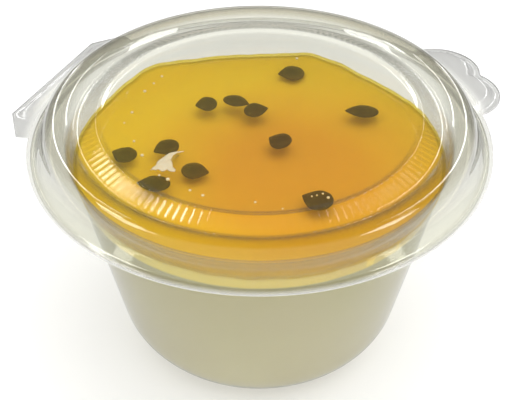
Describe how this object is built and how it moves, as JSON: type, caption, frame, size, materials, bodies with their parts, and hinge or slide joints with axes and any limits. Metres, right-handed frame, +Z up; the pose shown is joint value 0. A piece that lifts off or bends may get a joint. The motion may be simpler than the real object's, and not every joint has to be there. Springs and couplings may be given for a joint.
{
  "type": "lidded panna cotta pot",
  "caption": "Panna cotta under a layer of seeded passion-fruit jelly, in a clear round thermoformed pot with a press-on stepped lid.",
  "frame": {"origin": "middle of the pot's flat underside, on the axis of the cup and lid", "axes": "+Z up along the axis of the pot; -Y towards the viewer; +X to the right; the lift tab is on the rim at about 25 degrees from +X towards +Y and the straight strip at about 155 degrees"},
  "size_m": [0.1045, 0.095, 0.0578],
  "materials": {
    "clear_cup": "clear thermoformed PET sheet, slightly hazy, glossy",
    "clear_lid": "clear thermoformed PET sheet, glossy",
    "set_cream": "smooth set cream, soft sheen, slightly translucent",
    "fruit_jelly": "clear yellow to orange fruit jelly, wet gloss"
  },
  "bodies": {
    "root": {"cup": "clear_cup", "panna_cotta": "set_cream", "passion_fruit_jelly": "fruit_jelly", "lid": "clear_lid"}
  },
  "joints": []
}
